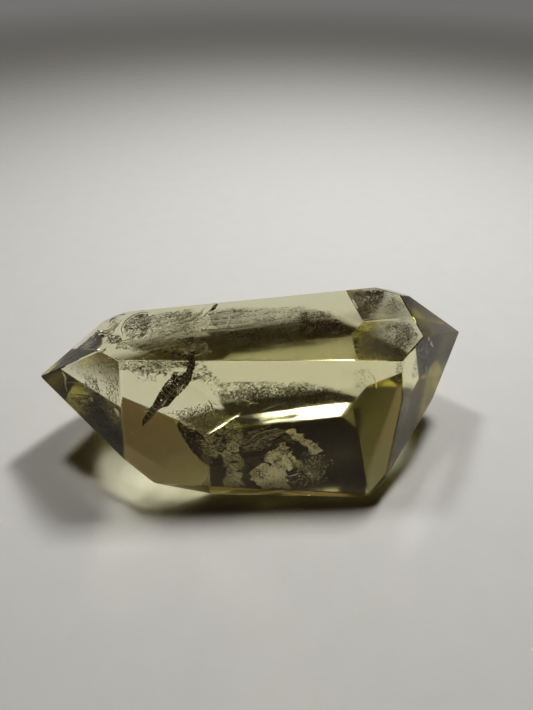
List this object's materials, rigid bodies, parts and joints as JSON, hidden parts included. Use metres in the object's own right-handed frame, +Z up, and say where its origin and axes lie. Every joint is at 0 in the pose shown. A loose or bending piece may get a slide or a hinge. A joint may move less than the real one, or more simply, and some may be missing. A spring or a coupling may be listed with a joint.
{
  "type": "citrine crystal point",
  "caption": "Polished double-ended citrine crystal lying on a flat side: a flattened six-sided quartz prism that tapers into a faceted point at each end.",
  "frame": {"origin": "on the table, under the middle of the stone's length and depth", "axes": "+X along the crystal towards its stout point, -Y towards its broad front side, +Z up"},
  "size_m": [0.0748, 0.0376, 0.0245],
  "materials": {
    "citrine": "hand polished, clear, pale smoky lemon with natural veils and fractures inside"
  },
  "bodies": {
    "root": {"crystal": "citrine"}
  },
  "joints": []
}
